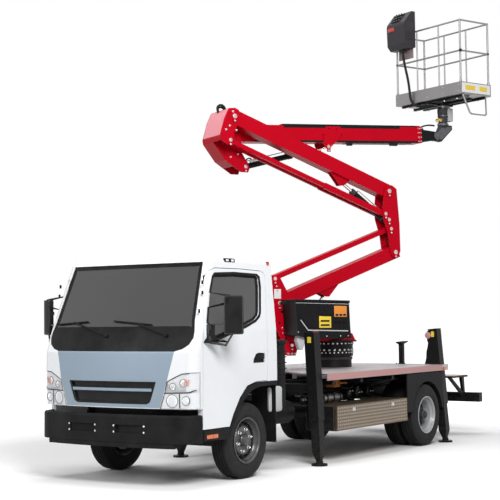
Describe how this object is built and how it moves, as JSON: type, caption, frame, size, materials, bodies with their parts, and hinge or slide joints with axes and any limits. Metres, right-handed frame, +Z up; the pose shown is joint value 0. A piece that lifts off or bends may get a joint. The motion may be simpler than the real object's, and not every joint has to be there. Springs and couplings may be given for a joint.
{
  "type": "cherry picker truck",
  "caption": "Light cab-over truck with a slewing articulated and telescopic boom, a work basket, outrigger legs and a chequered deck.",
  "frame": {"origin": "bottom centre of the whole, on the ground", "axes": "+X to the vehicle's left, +Y to its rear, +Z up"},
  "size_m": [2.711, 6.7236, 5.808],
  "materials": {
    "chassis_black": "satin",
    "deck_plate": "chequered",
    "leg_black": "satin",
    "cab_white": "gloss",
    "panel_grey": "gloss",
    "black_plastic": "matte",
    "glass": "gloss",
    "lamp": "clear",
    "interior_grey": "matte",
    "seat_fabric": "woven",
    "tyre": "matte",
    "rim_black": "satin",
    "rim_silver": "satin",
    "boom_red": "gloss",
    "cast_steel": "rough",
    "axle_steel": "rough",
    "engine_block": "rough",
    "cylinder_black": "gloss",
    "rod_chrome": "polished",
    "inner_boom": "satin",
    "cabinet_black": "satin",
    "basket_aluminium": "brushed",
    "control_grey": "satin"
  },
  "bodies": {
    "chassis": {"chassis_frame": "chassis_black", "subframe": "chassis_black", "outrigger_frames": "leg_black", "deck": "deck_plate", "drivetrain": "engine_block", "front_axle": "axle_steel", "leaf_springs": "axle_steel", "rear_axle": "axle_steel", "mudguards": "black_plastic", "rear_step": "chassis_black", "locker": "deck_plate", "tanks": "chassis_black", "cab_shell": "cab_white", "cab_glass": "glass", "front_panel": "panel_grey", "grille": "black_plastic", "headlamps": "lamp", "bumper": "black_plastic", "cab_interior": "interior_grey", "seats": "seat_fabric"},
    "knuckle_left": {"knuckle_left": "axle_steel"},
    "knuckle_right": {"knuckle_right": "axle_steel"},
    "wheel_front_left": {"rim_front_left": "rim_black", "tyre_front_left": "tyre"},
    "wheel_front_right": {"rim_front_right": "rim_black", "tyre_front_right": "tyre"},
    "wheels_rear_left": {"rim_rear_left": "rim_silver", "tyres_rear_left": "tyre"},
    "wheels_rear_right": {"rim_rear_right": "rim_silver", "tyres_rear_right": "tyre"},
    "door_left": {"door_left": "cab_white", "door_glass_left": "glass"},
    "door_right": {"door_right": "cab_white", "door_glass_right": "glass"},
    "locker_door": {"locker_door": "deck_plate"},
    "leg_front_left": {"leg_front_left": "leg_black"},
    "leg_front_right": {"leg_front_right": "leg_black"},
    "leg_rear_left": {"leg_rear_left": "leg_black"},
    "leg_rear_right": {"leg_rear_right": "leg_black"},
    "turret": {"tower": "boom_red", "control_cabinet": "cabinet_black"},
    "lower_arm": {"lower_arm": "boom_red"},
    "lower_tie": {"lower_tie": "boom_red"},
    "link": {"link": "boom_red"},
    "upper_arm": {"upper_arm": "boom_red"},
    "upper_tie": {"upper_tie": "boom_red"},
    "boom_head": {"boom_head": "boom_red"},
    "telescope_outer": {"tele_outer": "boom_red"},
    "telescope_inner": {"tele_inner": "inner_boom"},
    "levelling_bracket": {"levelling_bracket": "cast_steel"},
    "basket": {"basket_floor": "basket_aluminium", "basket_cage": "basket_aluminium", "basket_controls": "control_grey"},
    "lower_jack_barrel": {"lower_jack_barrel": "cylinder_black"},
    "lower_jack_rod": {"lower_jack_rod": "rod_chrome"},
    "link_jack_barrel": {"link_jack_barrel": "cylinder_black"},
    "link_jack_rod": {"link_jack_rod": "rod_chrome"},
    "luff_jack_barrel": {"luff_jack_barrel": "cylinder_black"},
    "luff_jack_rod": {"luff_jack_rod": "rod_chrome"}
  },
  "joints": [
    {"name": "steer_left", "type": "hinge", "parent": "chassis", "child": "knuckle_left", "pos_m": [0.61491, -2.20179, 0.385], "axis": [0, 0, 1], "range_deg": [-30, 30]},
    {"name": "steer_right", "type": "hinge", "parent": "chassis", "child": "knuckle_right", "pos_m": [-0.71509, -2.20179, 0.385], "axis": [0, 0, 1], "range_deg": [-30, 30]},
    {"name": "wheel_front_left_spin", "type": "hinge", "parent": "knuckle_left", "child": "wheel_front_left", "pos_m": [0.75791, -2.20179, 0.385], "axis": [1, 0, 0], "continuous": true},
    {"name": "wheel_front_right_spin", "type": "hinge", "parent": "knuckle_right", "child": "wheel_front_right", "pos_m": [-0.85809, -2.20179, 0.385], "axis": [1, 0, 0], "continuous": true},
    {"name": "wheels_rear_left_spin", "type": "hinge", "parent": "chassis", "child": "wheels_rear_left", "pos_m": [0.73491, 1.64821, 0.385], "axis": [1, 0, 0], "continuous": true},
    {"name": "wheels_rear_right_spin", "type": "hinge", "parent": "chassis", "child": "wheels_rear_right", "pos_m": [-0.83509, 1.64821, 0.385], "axis": [1, 0, 0], "continuous": true},
    {"name": "door_left_hinge", "type": "hinge", "parent": "chassis", "child": "door_left", "pos_m": [0.93091, -3.04779, 1.3], "axis": [0, 0, -1], "range_deg": [0, 65]},
    {"name": "door_right_hinge", "type": "hinge", "parent": "chassis", "child": "door_right", "pos_m": [-1.03109, -3.04779, 1.3], "axis": [0, 0, 1], "range_deg": [0, 65]},
    {"name": "locker_door_hinge", "type": "hinge", "parent": "chassis", "child": "locker_door", "pos_m": [0.97691, 0.21321, 0.369], "axis": [0, 1, 0], "range_deg": [0, 100]},
    {"name": "leg_front_left_lift", "type": "slide", "parent": "chassis", "child": "leg_front_left", "axis": [-0.0523, 0, 0.9986], "range_m": [0, 0.4]},
    {"name": "leg_front_right_lift", "type": "slide", "parent": "chassis", "child": "leg_front_right", "axis": [0.0523, 0, 0.9986], "range_m": [0, 0.4]},
    {"name": "leg_rear_left_lift", "type": "slide", "parent": "chassis", "child": "leg_rear_left", "axis": [-0.0872, 0, 0.9962], "range_m": [0, 0.4]},
    {"name": "leg_rear_right_lift", "type": "slide", "parent": "chassis", "child": "leg_rear_right", "axis": [0.0872, 0, 0.9962], "range_m": [0, 0.4]},
    {"name": "turret_slew", "type": "hinge", "parent": "chassis", "child": "turret", "pos_m": [-0.05009, 1.04821, 1.128], "axis": [0, 0, 1], "range_deg": [-180, 180]},
    {"name": "lower_arm_lift", "type": "hinge", "parent": "turret", "child": "lower_arm", "pos_m": [-0.34818, 0.19336, 1.804], "axis": [0.891, -0.454, 0], "range_deg": [-20, 50]},
    {"name": "lower_tie_swing", "type": "hinge", "parent": "turret", "child": "lower_tie", "pos_m": [-0.37678, 0.13723, 2.105], "axis": [0.891, -0.454, 0], "range_deg": [-22, 52]},
    {"name": "link_level", "type": "hinge", "parent": "lower_arm", "child": "link", "pos_m": [0.43814, 1.73658, 2.455], "axis": [0.891, -0.454, 0], "range_deg": [-52, 22]},
    {"name": "upper_arm_lift", "type": "hinge", "parent": "link", "child": "upper_arm", "pos_m": [0.40091, 1.66352, 3.241], "axis": [0.891, -0.454, 0], "range_deg": [-50, 14]},
    {"name": "upper_tie_swing", "type": "hinge", "parent": "link", "child": "upper_tie", "pos_m": [0.37276, 1.60828, 2.947], "axis": [0.891, -0.454, 0], "range_deg": [-52, 16]},
    {"name": "head_level", "type": "hinge", "parent": "upper_arm", "child": "boom_head", "pos_m": [-0.61739, -0.33501, 4.07], "axis": [0.891, -0.454, 0], "range_deg": [-16, 52]},
    {"name": "telescope_luff", "type": "hinge", "parent": "boom_head", "child": "telescope_outer", "pos_m": [-0.79243, -0.12236, 3.905], "axis": [0.891, -0.454, 0], "range_deg": [-10, 60]},
    {"name": "telescope_extend", "type": "slide", "parent": "telescope_outer", "child": "telescope_inner", "axis": [0.4534, 0.8899, 0.0488], "range_m": [0, 1.8]},
    {"name": "basket_level", "type": "hinge", "parent": "telescope_inner", "child": "levelling_bracket", "pos_m": [0.6272, 2.66382, 4.05303], "axis": [0.891, -0.454, 0], "range_deg": [-62, 12]},
    {"name": "basket_turn", "type": "hinge", "parent": "levelling_bracket", "child": "basket", "pos_m": [0.69893, 2.80459, 4.55003], "axis": [0, 0, 1], "range_deg": [-90, 90]},
    {"name": "lower_jack_swing", "type": "hinge", "parent": "turret", "child": "lower_jack_barrel", "pos_m": [-0.27463, 0.3377, 1.29], "axis": [0.891, -0.454, 0], "range_deg": [-14.7, 33.8]},
    {"name": "lower_jack_stroke", "type": "slide", "parent": "lower_jack_barrel", "child": "lower_jack_rod", "axis": [0.3007, 0.5902, 0.7491], "range_m": [-0.149, 0.364]},
    {"name": "link_jack_swing", "type": "hinge", "parent": "link", "child": "link_jack_barrel", "pos_m": [0.39591, 1.65372, 2.872], "axis": [0.891, -0.454, 0], "range_deg": [-37.2, 11.8]},
    {"name": "link_jack_stroke", "type": "slide", "parent": "link_jack_barrel", "child": "link_jack_rod", "axis": [-0.3705, -0.7272, 0.5778], "range_m": [-0.073, 0.247]},
    {"name": "luff_jack_swing", "type": "hinge", "parent": "boom_head", "child": "luff_jack_barrel", "pos_m": [-0.7266, 0.00683, 3.49], "axis": [0.891, -0.454, 0], "range_deg": [-11.1, 56.6]},
    {"name": "luff_jack_stroke", "type": "slide", "parent": "luff_jack_barrel", "child": "luff_jack_rod", "axis": [0.4396, 0.8628, 0.2498], "range_m": [-0.076, 0.434]}
  ],
  "couplings": [
    {"joint": "steer_right", "follows": "steer_left", "ratio": 1},
    {"joint": "lower_tie_swing", "follows": "lower_arm_lift", "ratio": 1},
    {"joint": "link_level", "follows": "lower_arm_lift", "ratio": -1},
    {"joint": "upper_tie_swing", "follows": "upper_arm_lift", "ratio": 1},
    {"joint": "head_level", "follows": "upper_arm_lift", "ratio": -1},
    {"joint": "basket_level", "follows": "telescope_luff", "ratio": -1},
    {"joint": "lower_jack_swing", "follows": "lower_arm_lift", "ratio": 0.6355},
    {"joint": "lower_jack_stroke", "follows": "lower_arm_lift", "m_per_rad": 0.4117},
    {"joint": "link_jack_swing", "follows": "upper_arm_lift", "ratio": 0.7031},
    {"joint": "link_jack_stroke", "follows": "upper_arm_lift", "m_per_rad": -0.2777},
    {"joint": "luff_jack_swing", "follows": "telescope_luff", "ratio": 0.9098},
    {"joint": "luff_jack_stroke", "follows": "telescope_luff", "m_per_rad": 0.4094}
  ]
}
